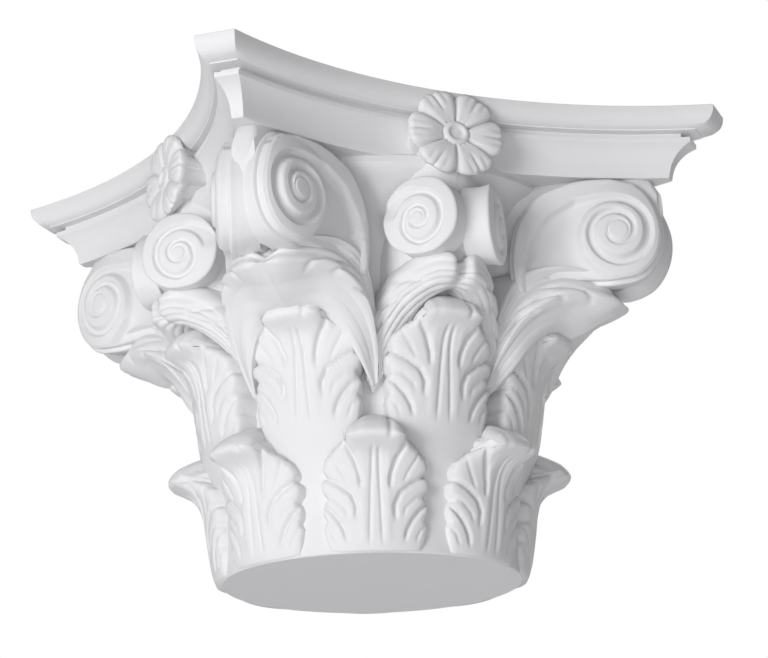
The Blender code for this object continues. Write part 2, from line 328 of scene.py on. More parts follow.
@dataclass(frozen=True)
class WhitePrimer:
    """Matt white primer sprayed over a moulded skin.

    Attributes:
        colour: Colour of the skin, and shade its colour where the clouds are darkest.
        roughness_range: Roughness where the clouds are darkest and palest.
        grain_depth: Height of the sprayed grain, in metres.
    """

    colour: Colour = (0.80, 0.795, 0.805, 1.0)
    shade: Colour = (0.775, 0.77, 0.785, 1.0)
    roughness_range: Span = (0.52, 0.68)
    cloud_scale: float = 38.0
    cloud_detail: float = 3.0
    grain_scale: float = 900.0
    grain_depth: float = 0.00006
    specular: float = 0.28

    def make(self) -> bpy.types.Material:
        """Builds the node material: faint clouds of shade and a fine sprayed grain.

        Returns:
            The material.
        """
        material = bpy.data.materials.new(SLOT)
        material.use_nodes = True
        nodes, links = material.node_tree.nodes, material.node_tree.links
        shader = nodes["Principled BSDF"]
        shader.inputs["Specular IOR Level"].default_value = self.specular
        place = nodes.new("ShaderNodeTexCoord")
        clouds = nodes.new("ShaderNodeTexNoise")
        clouds.inputs["Scale"].default_value = self.cloud_scale
        clouds.inputs["Detail"].default_value = self.cloud_detail
        tint = nodes.new("ShaderNodeMix")
        tint.data_type = "RGBA"
        tint.inputs["A"].default_value = self.shade
        tint.inputs["B"].default_value = self.colour
        gloss = nodes.new("ShaderNodeMapRange")
        darkest, palest = self.roughness_range
        gloss.inputs["To Min"].default_value = darkest
        gloss.inputs["To Max"].default_value = palest
        grain = nodes.new("ShaderNodeTexNoise")
        grain.inputs["Scale"].default_value = self.grain_scale
        relief = nodes.new("ShaderNodeBump")
        relief.inputs["Distance"].default_value = self.grain_depth
        links.new(place.outputs["Object"], clouds.inputs["Vector"])
        links.new(place.outputs["Object"], grain.inputs["Vector"])
        links.new(clouds.outputs["Fac"], tint.inputs["Factor"])
        links.new(clouds.outputs["Fac"], gloss.inputs["Value"])
        links.new(grain.outputs["Fac"], relief.inputs["Height"])
        links.new(tint.outputs["Result"], shader.inputs["Base Color"])
        links.new(gloss.outputs["Result"], shader.inputs["Roughness"])
        links.new(relief.outputs["Normal"], shader.inputs["Normal"])
        return material


@dataclass
class Bell:
    """Turned core behind the leaves, with its lip under the abacus.

    Attributes:
        profile: Radius and height of each ring, from the foot up.
    """

    profile: Path = (
        (60, 0), (100.4, 0), (101.2, 0.8), (101.2, 30), (101, 60), (100.5, 110),
        (101.5, 160), (106, 195), (115, 222), (128, 243), (134, 248),
        (136, 252), (134.5, 257), (128, 261), (120, 266),
    )
    segments: int = 144

    def build(self) -> bpy.types.Object:
        """Turns the profile round the axis.

        Returns:
            The bell.
        """
        turns = np.radians(np.arange(self.segments) * 360.0 / self.segments)
        radius, height = np.array(self.profile).T
        rings = np.stack((
            radius[:, None] * np.cos(turns), radius[:, None] * np.sin(turns),
            np.broadcast_to(height[:, None], (len(height), self.segments)),
        ), axis=2)
        return ringed_solid("bell", np.zeros(3), rings, np.array((0.0, 0.0, height[-1])))


@dataclass
class Abacus:
    """Moulded top slab with hollow sides and cut corners.

    Attributes:
        corner_reach: Distance from the axis to the middle of a cut corner.
        hollow: How far a side's middle is hollowed in from its ends.
        side_inset: Share of the moulding's inset that shows on the hollow sides.
        profile: Inset at a cut corner and height of each edge, from the bottom up.
    """

    corner_reach: float = 255.9
    chamfer_half: float = 13.8
    hollow: float = 45.4
    side_inset: float = 0.57
    side_segments: int = 44
    profile: Path = (
        (35.8, 256), (35.2, 256.6), (34.6, 260), (33.4, 264.2), (31.2, 268.4),
        (28.2, 272), (24.6, 275), (20.6, 277.2), (18.8, 278), (18.4, 278.6), (18.4, 281.2),
        (25, 281.9), (25, 285), (14.4, 285.6), (14, 286.2), (11.8, 286.6),
        (8.2, 287.6), (4.8, 289.4), (2.2, 291.8), (0.7, 294.8), (0.1, 298), (0, 299.6),
        (0.5, 300),
    )

    def edge(self, inset: float, height: float) -> Points:
        """One edge of the moulding, round all four sides.

        Args:
            inset: How far the edge lies inside the top edge at a cut corner.
            height: Its height.

        Returns:
            Points round the edge.
        """
        out = (self.corner_reach + self.chamfer_half) * math.sqrt(0.5)
        half = (self.corner_reach - self.chamfer_half) * math.sqrt(0.5)
        radius = (half ** 2 + self.hollow ** 2) / (2.0 * self.hollow)
        centre = out - self.hollow + radius
        arc = radius + inset * self.side_inset
        line = (self.corner_reach - inset) * math.sqrt(2.0) - centre
        end = math.asin((line + math.sqrt(2.0 * arc ** 2 - line ** 2)) / 2.0 / arc)
        turns = np.linspace(-end, end, self.side_segments)
        sides = [
            on_ray(90.0 * side, centre - arc * np.cos(turns), arc * np.sin(turns), height)
            for side in range(SIDES)
        ]
        return np.concatenate(sides)

    def build(self) -> bpy.types.Object:
        """Runs the profile round the hollow sides and the cut corners.

        Returns:
            The abacus.
        """
        rings = np.stack([self.edge(inset, height) for inset, height in self.profile])
        base = self.profile[0][1]
        return ringed_solid("abacus", np.array((0.0, 0.0, base)), rings,
                            np.array((0.0, 0.0, HEIGHT)))


@dataclass
class AcanthusRow:
    """Row of acanthus leaves: a fluted stem, side lobes in groups, and a tip that curls over.

    Heights on a leaf are above its own foot, and a pair of heights is where a change starts
    and where it is complete.

    Attributes:
        foot: Spine points below the common shape: radius, height and stem half width.
        proud: How much further out than the lower row the leaf stands, at stem and tip.
        lift: How much higher it stands.
        sinks: Depths of carving past which the sheet sinks to inside_bell.
        rib_line: The midrib's two lines: depth, distance from the middle and narrowing.
        rib_swell: Height, place and width of the swelling beside them.
        tip_creases: Depth, place and width of each.
        tip_height: Height that stands for all that lies past the curl.
        edge_falls: Depth of each fall at the outline, and its place from the outline.
        foot_falls: Depth that the ground between the lobes falls by, and the heights.
        foot_round: Depth that it falls by at its sides, and their distance.
        pit_heights: Heights over which the hollow beside the tip is filled and left open.
        droop: Fall of the sheet towards its sides, and the distance of that fall.
        lip_droop: Fall of the tip's sides inwards and down.
        outline: Height and half width of the blade, notched where two lobes part.
        grooves: Grooves of the right half, three deep ones between the groups of lobes.
    """

    name: str
    first_turn: float
    foot: Path
    proud: Span
    lift: float
    count: int = 8
    half_width: float = 39.0
    bending_radius: float = 112.0
    rows: int = 100
    columns: int = 97
    flat_back: float = 87.0
    back_share: float = 0.75
    inside_bell: float = 96.5
    sinks: Span = (4.4, 8.9)
    proud_grows: Span = (56.0, 68.0)
    rib_rises: Span = (1.5, 14.0)
    rib_deepens: Span = (30.0, 56.0)
    rib_line: tuple[float, float, float] = (2.1, 4.6, 2.6)
    rib_swell: tuple[float, float, float] = (0.5, 8.2, 2.2)
    blade_height: float = 60.0
    tip_begins: Span = (59.0, 65.0)
    tip_creases: tuple[tuple[float, float, float], ...] = ((1.7, 8.0, 1.4), (0.5, -10.0, 2.0))
    cap_begins: Span = (66.0, 69.0)
    tip_height: float = 75.0
    grooves_end: Span = (68.0, 63.0)
    groove_limit: float = 3.0
    edge_narrows: Span = (64.5, 68.5)
    edge_falls: tuple[tuple[float, Span], ...] = ((1.0, (-5.0, 0.0)), (8.0, (-1.4, 2.0)))
    foot_sunk: float = 0.9
    foot_falls: tuple[float, Span] = (8.0, (2.5, 6.0))
    foot_round: Span = (4.0, 35.0)
    pit_heights: tuple[Span, Span] = ((61.0, 63.0), (71.0, 68.0))
    pit_sides: Span = (20.5, 18.0)
    pit_fill: float = 0.95
    droop: Span = (3.0, 36.0)
    lip_begins: Span = (58.0, 69.0)
    lip_droop: Span = (3.0, 2.6)
    carving_limit: float = 5.0
    spine: Path = (
        (108, 12, 16.4), (110.6, 28, 11.8), (112.5, 42, 9.8), (115.2, 53, 11.6),
        (120, 60, 14.6), (127.5, 64.4, 16.6), (134, 67.4, 17.1), (136.6, 70.2, 17.1),
        (135.4, 74, 17), (130, 79.5, 17), (120.5, 84.5, 14.6), (110, 88.4, 11.4),
        (97, 91, 8),
    )
    outline: Path = (
        (0, 33.5), (8, 35.5), (17, 36.6), (20, 34.2), (23.5, 36.4), (31, 36.4),
        (34, 32.4), (38, 36.4), (44, 36.6), (47.5, 32.6), (51, 35.2), (56, 32.6),
        (58, 29), (60, 26.4), (61.6, 22.8), (63.2, 19.4), (65, 17.9), (67, 17.3),
        (70, 17.2), (100, 17.2),
    )
    grooves: tuple[Groove, ...] = (
        (((17.6, 63.6), (13, 57), (9.8, 47.5), (9.2, 38)), 3.4, 1.25),
        (((33, 47), (23.5, 42.3), (15.8, 36.4), (12.4, 28.5), (13.2, 17.5)), 3.3, 1.25),
        (((37, 31.5), (30.4, 26.4), (24.7, 19.8), (21, 13), (18.9, 4.5)), 3.3, 1.25),
        (((28.5, 60.5), (22.4, 51.5), (17.2, 42)), 1.2, 1),
        (((36, 37.5), (27, 33.5), (20, 27), (17.4, 20)), 1.1, 1),
        (((37, 18.5), (30.5, 13), (26.8, 5)), 1, 1),
    )

    def relief(self, x: Points, z: Points, stem: Points) -> Points:
        """Height of the carving over the leaf's plain sheet.

        Args:
            x: Distance sideways from the midrib.
            z: Height above the leaf's foot.
            stem: Half width of the tip past the lobes.

        Returns:
            Height in millimetres, below zero where the sheet is cut.
        """
        side = np.abs(x)
        rib = smoothstep(*self.rib_rises, z) * (1.0 - smoothstep(*self.tip_begins, z))
        depth, apart, narrowing = self.rib_line
        body = -depth * rib * (0.65 + 0.35 * smoothstep(*self.rib_deepens, z)) * bump(
            side - apart + narrowing * z / self.blade_height, 1.0)
        height, place, width = self.rib_swell
        body = body + height * rib * bump(side - place, width)
        cap = smoothstep(*self.cap_begins, z)
        for depth, place, width in self.tip_creases:
            body = body - depth * cap * bump(x - place, width)
        for path, depth, width in self.grooves:
            gap, along = distance_to_path(side, z, path)
            fade = smoothstep(1.0, 0.75, along)
            body = body - depth * fade * smoothstep(*self.grooves_end, z) * bump(gap, width)
        body = np.maximum(body, -self.groove_limit)
        past = self.past_outline(side, z, stem)
        for fall, span in self.edge_falls:
            body = body - fall * smoothstep(*span, past)
        fall, span = self.foot_falls
        side_fall, reach = self.foot_round
        foot = -self.foot_sunk - fall * smoothstep(*span, z) - side_fall * (side / reach) ** 10
        return np.maximum(body, foot)

    def past_outline(self, side: Points, z: Points, stem: Points) -> Points:
        """Measures how far points lie past the leaf's outline.

        Args:
            side: Distance from the midrib.
            z: Height above the leaf's foot.
            stem: Half width of the tip past the lobes.

        Returns:
            The distance, below zero inside the outline.
        """
        heights, widths = np.array(self.outline).T
        tip = smoothstep(*self.edge_narrows, z)
        half = np.interp(z, heights, widths) * (1.0 - tip) + stem * tip
        gap, _ = distance_to_path(side, z, tuple(zip(widths, heights)))
        return np.where(side > half, gap, -gap) * (1.0 - tip) + (side - half) * tip

    def build(self) -> bpy.types.Object:
        """Shapes one leaf and copies it round the bell.

        Returns:
            The row of leaves.
        """
        stem_out, tip_out = self.proud
        spine = [
            (radius + stem_out
             + (tip_out - stem_out) * float(smoothstep(*self.proud_grows, height)),
             height + self.lift, half)
            for radius, height, half in self.spine
        ]
        path = smooth_path(list(self.foot) + spine, self.rows)
        radius, height, stem = path.T
        slope = np.gradient(path[:, :2], axis=0)
        slope /= np.linalg.norm(slope, axis=1, keepdims=True)
        x = np.linspace(-self.half_width, self.half_width, self.columns)
        past_tip = np.arange(self.rows) > np.argmax(radius)
        z = np.where(past_tip, self.tip_height, height - self.lift)
        grid_x, grid_z = np.meshgrid(x, z)
        carving = self.relief(grid_x, grid_z, stem[:, None])
        rising, falling = self.pit_heights
        pit = smoothstep(*rising, grid_z) * smoothstep(*falling, grid_z)
        pit = pit * smoothstep(*self.pit_sides, np.abs(grid_x))
        hidden = smoothstep(*self.sinks, -carving) * (1.0 - self.pit_fill * pit)
        share = np.abs(grid_x) / stem[:, None]
        fall, reach = self.droop
        lip = smoothstep(*self.lip_begins, grid_z)
        inwards, down = self.lip_droop
        drop = fall * (grid_x / reach) ** 2 + inwards * lip * np.minimum(share, 1.06) ** 4
        depth = np.maximum(carving, -self.carving_limit) - drop
        out = radius[:, None] + slope[:, 1:2] * depth
        up = height[:, None] - slope[:, 0:1] * depth - down * lip * np.minimum(share, 1.1) ** 3
        out = out + (self.inside_bell - out) * hidden
        up = up + (height[:, None] - up) * hidden
        low = self.foot[0][1]
        up = np.maximum(up, low)
        turn = np.broadcast_to(x / self.bending_radius, out.shape)
        front = np.stack((out * np.cos(turn), out * np.sin(turn), up), axis=2)
        level = np.broadcast_to(np.linspace(low, height[-1], self.rows)[:, None], out.shape)
        back = on_ray(0.0, self.flat_back, grid_x * self.back_share, level)
        return repeated(sheet_solid(self.name, front, back), self.first_turn, self.count)


@dataclass
class CalyxLeaves:
    """Pairs of calyx leaves that meet in the middle of a corner or a side.

    A curve runs from the middle to the stalk, each point as distance out, distance sideways
    and height. A share along is of the way from the middle to the stalk, and a level is the
    share of the way from the leaf's lower edge to its upper one, past 1 on the rolled lip.

    Attributes:
        curves: Curves that the face passes through, from its lower edge to its upper one.
        lip: Curve that the rolled lip ends on.
        sheath: Curve that the sheath behind the lip ends on.
        folds: Grooves in the face, each point as share along and level.
        ribs: Number and depth of the fine flutes in the face.
        hollow: Depth of the sheath's hollow beside its stem.
        fold_size: Depth and width of a fold.
        reach: Length and width of the face, for measuring the folds.
        lip_level: Level that the lip takes up past 1.
        closing: Scales of the row that closes the sheath's top.
    """

    name: str
    first_turn: float
    curves: tuple[Path, ...]
    lip: Path
    sheath: Path
    folds: tuple[Path, ...]
    ribs: tuple[float, float]
    sheath_ribs: tuple[float, float]
    cleft: float
    stem: float
    columns: int
    hollow: float = 5.0
    fold_size: Span = (2.6, 1.3)
    reach: Span = (110.0, 42.0)
    rows: int = 54
    lip_rows: int = 12
    lip_level: float = 0.3
    sheath_rows: int = 26
    ribs_fade: Span = (1.0, 0.8)
    ribs_top: Span = (1.02, 0.94)
    ribs_foot: Span = (0.0, 0.1)
    cleft_levels: Span = (0.3, 1.0)
    cleft_width: float = 0.05
    hollow_fades: Span = (0.45, 0.2)
    stem_width: float = 0.035
    closing: Place = (0.95, 0.9, 1.0)
    flat_back: float = 82.0
    back_share: float = 0.85

    def carving(self, along: Points, level: Points) -> Points:
        """Height of the carving over the plain sheet.

        Args:
            along: Share along.
            level: Level.

        Returns:
            Height in millimetres, below zero where the sheet is cut.
        """
        count, depth = self.ribs
        fade = smoothstep(*self.ribs_fade, along) * smoothstep(*self.ribs_top, level)
        fade = fade * smoothstep(*self.ribs_foot, level)
        height = -depth * flutes(count, level) * fade
        depth, width = self.fold_size
        long, tall = self.reach
        for fold in self.folds:
            path = tuple((long * a, tall * b) for a, b in fold)
            gap, share = distance_to_path(along * long, level * tall, path)
            swell = np.sin(math.pi * np.clip(share, 0.02, 0.98)) ** 0.5
            height = height - depth * bump(gap, width) * swell
        return height - self.cleft * bump(along, self.cleft_width) * smoothstep(
            *self.cleft_levels, level)

    def plain_sheet(self) -> Points:
        """Runs a sheet through the curves, rolls its upper edge back and mirrors it.

        Returns:
            Points of the pair's plain face, rows by columns.
        """
        curves = np.stack([smooth_path(curve, self.columns) for curve in self.curves])
        lip = smooth_path(self.lip, self.columns)
        sheet = np.stack(
            [smooth_path(curves[:, i], self.rows) for i in range(self.columns)], axis=1)
        high = sheet[-1]
        turn = np.linspace(0.0, math.pi / 2.0, self.lip_rows + 1)[1:, None, None]
        rise = np.concatenate((1.0 - np.cos(turn), 1.0 - np.cos(turn), np.sin(turn)), axis=2)
        sheet = np.concatenate((sheet, high + (lip - high) * rise))
        return np.concatenate((sheet[:, :0:-1] * MIRROR, sheet), axis=1)

    def sheath_cover(self, lip: Points, along: Points) -> Points:
        """Covers the leaf's back from its rolled lip to the top of the sheath.

        Args:
            lip: Last row of the carved face.
            along: Share along of each of its points, as a row.

        Returns:
            Points of the sheath, rows by columns, with the row that closes its top.
        """
        top = smooth_path(self.sheath, self.columns)
        top = np.concatenate((top[:0:-1] * MIRROR, top))
        share = np.linspace(0.0, 1.0, self.sheath_rows)[1:, None]
        cover = lip * (1.0 - share[:, :, None]) + top * share[:, :, None]
        away = cover * (1.0, 1.0, 0.0)
        away /= np.linalg.norm(away, axis=2, keepdims=True)
        count, depth = self.sheath_ribs
        arch = np.sin(math.pi * share)
        ribs = -depth * flutes(count, share)
        ribs = ribs - self.hollow * arch * smoothstep(*self.hollow_fades, along)
        ribs = ribs + self.stem * arch * bump(along, self.stem_width)
        cover = cover + away * ribs[:, :, None]
        return np.concatenate((cover, cover[-1:] * self.closing))

    def build(self) -> bpy.types.Object:
        """Shapes one pair and copies it to the four corners or sides.

        Returns:
            The four pairs.
        """
        sheet = self.plain_sheet()
        along = np.abs(np.linspace(-1.0, 1.0, 2 * self.columns - 1))
        past = self.lip_level * np.linspace(0.0, 1.0, self.lip_rows + 1)[1:]
        level = np.concatenate((np.linspace(0.0, 1.0, self.rows), 1.0 + past))
        along, level = np.meshgrid(along, level)
        outward = surface_normals(sheet)
        if outward[self.rows // 2, self.columns][0] < 0.0:
            outward = -outward
        face = sheet + outward * self.carving(along, level)[:, :, None]
        front = np.concatenate((face, self.sheath_cover(face[-1], along[:1])))
        share = np.linspace(0.0, 1.0, len(front))[:, None]
        heights = front[:1, :, 2] * (1.0 - share) + front[-1:, :, 2] * share
        widths = front[:1, :, 1] * (1.0 - share) + front[-1:, :, 1] * share
        back = np.stack((np.full(heights.shape, self.flat_back), widths * self.back_share,
                         heights), axis=2)
        return repeated(sheet_solid(self.name, front, back), self.first_turn, SIDES)


@dataclass
class Scroll:
    """Spiral disc: a corner volute with its stalk, or a helix.

    Lengths across run towards the outer side of the spiral, and heights up, from the eye.

    Attributes:
        eye: Distance out from the axis, distance along the side and height of the eye.
        turn: Turn of the disc's face from the side's normal, in degrees.
        outline: Corners of the outline about the eye, clockwise from the top.
        inner: Radius of the spiral groove's inner wall at each quarter turn.
        outer: Radius of its outer wall there.
        first_mark: Turn of the first of those radii, from the top.
        dome: Fall of the face at dome_radius: all round, and more to the outer side.
        neck: Distance back of the neck's end, and how far in from the outline it stands.
        rim_profile: Rim from the face back: share of its thickness, how far it stands out.
        band: Line that the groove's first lap stays below, if any.
        inner_wall: Start and end of the inner wall, in widths of a wall.
        band_deeper: Share that the first lap deepens by, and where.
        round_share: Share of the outline's least radius that the rings stay round in.
    """

    name: str
    eye: Place
    turn: float
    winding: Winding
    outline: Path
    inner: tuple[float, ...]
    outer: tuple[float, ...]
    first_mark: float
    eye_radius: float
    dome: tuple[float, float]
    dome: Span
    dome_radius: float
    wall: float
    groove_depth: float
    rim: float
    neck: Span
    round_edge: float
    rim_profile: Path
    band: Path = ()
    dome_limit: float = 1.5
    eye_groove: Span = (0.8, 0.7)
    inner_wall: Span = (-1.3, 0.7)
    outer_wall: Span = (1.1, -0.7)
    groove_ends: Span = (0.08, 0.15)
    band_wall: Span = (-2.0, 2.6)
    band_deeper: tuple[float, Span] = (0.35, (-10.0, -40.0))
    edge_drop: float = 0.55
    round_share: float = 0.93
    neck_step: float = 0.2
    segments: int = 150
    rings: int = 64
    round_rings: int = 42

    def outline_radius(self, angles: Points) -> Points:
        """Measures the distance from the eye to the outline.

        Args:
            angles: Directions from the eye, in radians.

        Returns:
            The distance along each.
        """
        closed = smooth_path(tuple(self.outline) + (self.outline[0],), 400)
        bearing = np.arctan2(closed[:, 1], closed[:, 0]) % (2.0 * math.pi)
        order = np.argsort(bearing)
        radius = np.hypot(closed[:, 0], closed[:, 1])
        return np.interp(angles % (2.0 * math.pi), bearing[order], radius[order],
                         period=2.0 * math.pi)

    def groove(self, across: Points, up: Points, place: Points, banded: bool) -> Points:
        """Depth of one lap of the spiral groove.

        Args:
            across: Distance across from the eye.
            up: Height over the eye.
            place: Turns from the top, on this lap.
            banded: Whether the lap stays below the band.

        Returns:
            The depth.
        """
        radius = np.hypot(across, up)
        marks = self.first_mark + np.arange(len(self.inner)) * 0.25
        inner = np.interp(place, marks, self.inner)
        outer = np.interp(place, marks, self.outer)
        size = np.clip(inner / max(self.inner[:3]), 0.0, 1.0) ** 0.5
        soft = self.wall * size
        low, high = self.inner_wall
        cut = smoothstep(inner + low * soft, inner + high * soft, radius)
        low, high = self.outer_wall
        cut = cut * smoothstep(outer + low * soft, outer + high * soft, radius)
        if banded:
            level = np.interp(across, *np.array(self.band).T)
            gap, _ = distance_to_path(across, up, self.band)
            cut = cut * smoothstep(*self.band_wall, np.sign(level - up) * gap)
            deeper, span = self.band_deeper
            cut = cut * (1.0 + deeper * smoothstep(*span, across))
        starts, ends = self.groove_ends
        live = smoothstep(marks[0] - 0.001, marks[0] + starts, place)
        live = live * smoothstep(marks[-1], marks[-1] - ends, place)
        return self.groove_depth * size * cut * live

    def height(self, across: Points, up: Points) -> Points:
        """Height of the face over the plane of the eye, with the spiral cut in it.

        Args:
            across: Distance across from the eye.
            up: Height over the eye.

        Returns:
            The height, below zero where the face falls away.
        """
        radius = np.hypot(across, up)
        angle = np.arctan2(up, across)
        even, lean = self.dome
        level = np.minimum((radius / self.dome_radius) ** 2, self.dome_limit)
        face = -level * (even + lean * np.cos(angle))
        turns = (math.pi / 2.0 - angle) / (2.0 * math.pi) % 1.0
        for lap in (-1.0, 0.0, 1.0):
            face = face - self.groove(across, up, turns + lap, bool(self.band) and lap < 0.0)
        depth, width = self.eye_groove
        return face - depth * bump(radius - self.eye_radius, width)

    def to_side(self, across: Points, up: Points, above: Points) -> Points:
        """Places points of the disc's own plane on the side that faces +X.

        Args:
            across: Distance across from the eye.
            up: Height over the eye.
            above: Height over the disc's plane.

        Returns:
            The points, with a last axis of three.
        """
        out, along, height = self.eye
        turn = math.radians(self.turn)
        normal = np.array((math.cos(turn), math.sin(turn)))
        sideways = np.array((-normal[1], normal[0])) * self.winding.value
        return np.stack((
            out + across * sideways[0] + above * normal[0],
            along + across * sideways[1] + above * normal[1],
            height + up,
        ), axis=-1)

    def build(self) -> bpy.types.Object:
        """Shapes one disc and copies it, mirrored in pairs, to the four sides.

        Returns:
            The eight discs.
        """
        angles = angles_round(self.segments)
        edge = self.outline_radius(angles)
        middle = self.round_share * edge.min()
        circles = np.linspace(0.0, middle, self.round_rings + 1)[1:, None]
        circles = np.broadcast_to(circles, (self.round_rings, self.segments))
        share = np.linspace(0.0, 1.0, self.rings - self.round_rings + 1)[1:, None]
        radius = np.concatenate((circles, middle + (edge - middle) * share))
        across, up = radius * np.cos(angles), radius * np.sin(angles)
        above = self.height(across, up) - self.edge_drop * self.round_edge * smoothstep(
            edge - self.round_edge, edge, radius)
        deep, inset = self.neck
        steps = [(depth * self.rim, 1.0 + grow / edge) for depth, grow in self.rim_profile]
        steps += [(depth, 1.0 - inset / edge) for depth in (self.rim + self.neck_step, deep)]
        layers = [self.to_side(across, up, above)]
        for depth, scale in steps:
            layers.append(
                self.to_side(across[-1] * scale, up[-1] * scale, above[-1] - depth)[None])
        centre = np.zeros(1)
        eye = self.to_side(centre, centre, self.height(centre, centre))
        back = self.to_side(centre, centre, np.full(1, float(above[-1].mean()) - deep))
        disc = ringed_solid(self.name, eye, np.concatenate(layers), back)
        return repeated(disc, 0.0, SIDES, mirrored=True)


@dataclass
class Flowers:
    """Six-petalled flower in the middle of each side of the abacus.

    Attributes:
        parting: Shares of the reach that the outline draws in by, between petals and at tips.
        petal_arch: Power and share of a half wave that shape a petal's swelling.
        creases: Depth, place, width and shares of the reach of each crease in a petal.
        rim: Distance back and scale of each ring behind the face.
    """

    height: float = 270.4
    petals: int = 6
    petal_reach: float = 29.4
    parting: Span = (0.17, 0.035)
    petal_rise: float = 5.0
    petal_arch: Span = (1.15, 0.74)
    parting_depth: float = 4.0
    creases: tuple[tuple[float, float, float, Span], ...] = (
        (1.3, 0.0, 1.0, (0.45, 0.8)), (0.6, 4.8, 1.1, (0.6, 0.85)),
    )
    edge_fall: tuple[float, Span] = (1.2, (0.93, 1.0))
    petal_sunk: float = 0.6
    widening: float = 1.17
    button: float = 8.6
    button_rise: float = 3.4
    button_fall: float = 2.6
    button_foot: float = -0.4
    dimple: float = 1.7
    dimple_radii: Span = (5.6, 3.2)
    face: float = 147.0
    rim: Path = ((2.0, 0.995), (4.0, 0.95), (7.0, 0.82), (30.0, 0.7))
    segments: int = 168
    rings: int = 42

    def build(self) -> bpy.types.Object:
        """Shapes one flower and copies it to the four sides.

        Returns:
            The four flowers.
        """
        angles = angles_round(self.segments)
        pitch = 2.0 * math.pi / self.petals
        off = (angles + pitch / 2.0) % pitch - pitch / 2.0
        parted = np.abs(off) / (pitch / 2.0)
        between, at_tip = self.parting
        edge = self.petal_reach * (1.0 - between * parted ** 4 - at_tip * bump(off, 0.07))
        share = np.linspace(1.0 / self.rings, 1.0, self.rings)[:, None]
        radius = share * edge
        power, wave = self.petal_arch
        petal = self.petal_rise * np.sin(math.pi * share ** power * wave)
        petal = petal - self.parting_depth * parted ** 7
        for depth, place, width, span in self.creases:
            groove = bump(np.abs(radius * off) - place, width)
            petal = petal - depth * groove * smoothstep(*span, share)
        fall, span = self.edge_fall
        petal = petal - fall * smoothstep(*span, share)
        dish = self.button_rise - self.button_fall * (radius / self.button) ** 8
        dish = dish - self.dimple * smoothstep(*self.dimple_radii, radius)
        out = self.face + np.where(radius < self.button, np.maximum(dish, self.button_foot),
                                   petal - self.petal_sunk)
        side = radius * np.cos(angles) * self.widening
        up = self.height + radius * np.sin(angles)
        layers = [on_ray(0.0, out, side, up)]
        for depth, scale in self.rim:
            layers.append(on_ray(0.0, out[-1] - depth, side[-1] * scale,
                                 self.height + (up[-1] - self.height) * scale)[None])
        middle = self.face + (self.button_rise - self.dimple)
        top, back = (
            on_ray(0.0, np.array([place]), 0.0, self.height)
            for place in (middle, self.face - self.rim[-1][0])
        )
        flower = ringed_solid("flowers", top, np.concatenate(layers), back)
        return repeated(flower, 0.0, SIDES)


@dataclass
class Cores:
    """Plain solid behind the scrolls, back to the bell, at four places.

    Attributes:
        stations: Distance out, half width, lowest and highest point of each ring, outwards.
        squareness: Power that makes the rings rounded squares, where 1 leaves them round.
    """

    name: str
    first_turn: float
    stations: Path
    squareness: float = 0.5
    segments: int = 32

    def build(self) -> bpy.types.Object:
        """Shapes one core and copies it to the four places.

        Returns:
            The four cores.
        """
        angles = angles_round(self.segments)
        across, upright = (
            np.sign(wave) * np.abs(wave) ** self.squareness
            for wave in (np.cos(angles), np.sin(angles))
        )
        rings = [
            on_ray(0.0, out, half * across, (low + high) / 2.0 + (high - low) / 2.0 * upright)
            for out, half, low, high in self.stations
        ]
        ends = [
            on_ray(0.0, np.array([out]), 0.0, (low + high) / 2.0)
            for out, _, low, high in (self.stations[0], self.stations[-1])
        ]
        core = ringed_solid(self.name, ends[0], np.stack(rings), ends[1])
        return repeated(core, self.first_turn, SIDES)


CORNER_CORES = Cores(
    "corner_cores", 45.0,
    ((94, 42, 187, 250), (125, 35, 189, 259), (150, 27, 195, 261),
     (178, 18, 198, 261), (195, 13, 200, 260), (207, 9.5, 203, 256),
     (212, 8, 208, 248)),
)
FACE_CORES = Cores(
    "face_cores", 0.0,
    ((94, 36, 150, 248), (118, 30, 165, 254), (131, 22, 176, 258),
     (138, 15, 182, 259), (142, 8, 188, 258)),
)
LOWER_LEAVES = AcanthusRow(
    "lower_leaves", 22.5, ((104.4, 0.3, 22), (106.4, 5, 19)), (0.0, 0.0), 0.0,
)
UPPER_LEAVES = AcanthusRow(
    "upper_leaves", 0.0,
    ((98, 24, 26), (101, 44, 26), (108, 62, 24), (115.5, 80, 20)),
    (10.5, 8.0), 80.0,
)
CORNER_LEAVES = CalyxLeaves(
    "corner_leaves", 45.0,
    curves=(
        ((118, 0, 163), (124, 12, 158), (129.5, 21.5, 149), (125.5, 30, 139),
         (115.5, 37, 124), (99, 40.5, 108)),
        ((143, 0, 153.5), (141, 13, 154.5), (137, 24.5, 151.5), (128.5, 34, 142),
         (116.5, 40, 126), (99, 41.5, 108.5)),
        ((168, 0, 160.5), (163, 14, 163.5), (152, 28, 165), (134, 40, 155),
         (116, 45, 135), (97.5, 42, 109.5)),
        ((188, 0, 170), (182, 14, 171), (169, 28, 173), (153, 41, 171.5),
         (130, 50, 156), (111, 49, 132), (98, 43.5, 110.5)),
        ((181, 0, 177), (178, 12, 179), (167, 26, 180.5), (153, 38.5, 178),
         (132, 48, 165), (112, 48.5, 140), (98, 44, 111)),
    ),
    lip=((175, 0, 181), (171, 11, 184.5), (160, 23.5, 186), (147, 35, 185),
         (127, 45.5, 172), (110, 47.5, 144), (97.5, 44.5, 112.5)),
    sheath=((168, 0, 200), (168, 12, 196), (172, 27, 190), (163, 36, 191),
            (150, 41, 192), (135, 45.5, 190), (121, 48, 180), (108, 48, 150),
            (98, 45, 114)),
    folds=(((0.2, 0.72), (0.27, 0.92), (0.38, 1.06), (0.46, 1.2)),
           ((0.35, 0.72), (0.42, 0.92), (0.53, 1.06), (0.61, 1.2)),
           ((0.51, 0.76), (0.58, 0.92), (0.69, 1.06), (0.77, 1.2))),
    ribs=(5.0, 0.35), sheath_ribs=(3.0, 1.3), cleft=3.0, stem=8.0, hollow=10.0, columns=70,
)
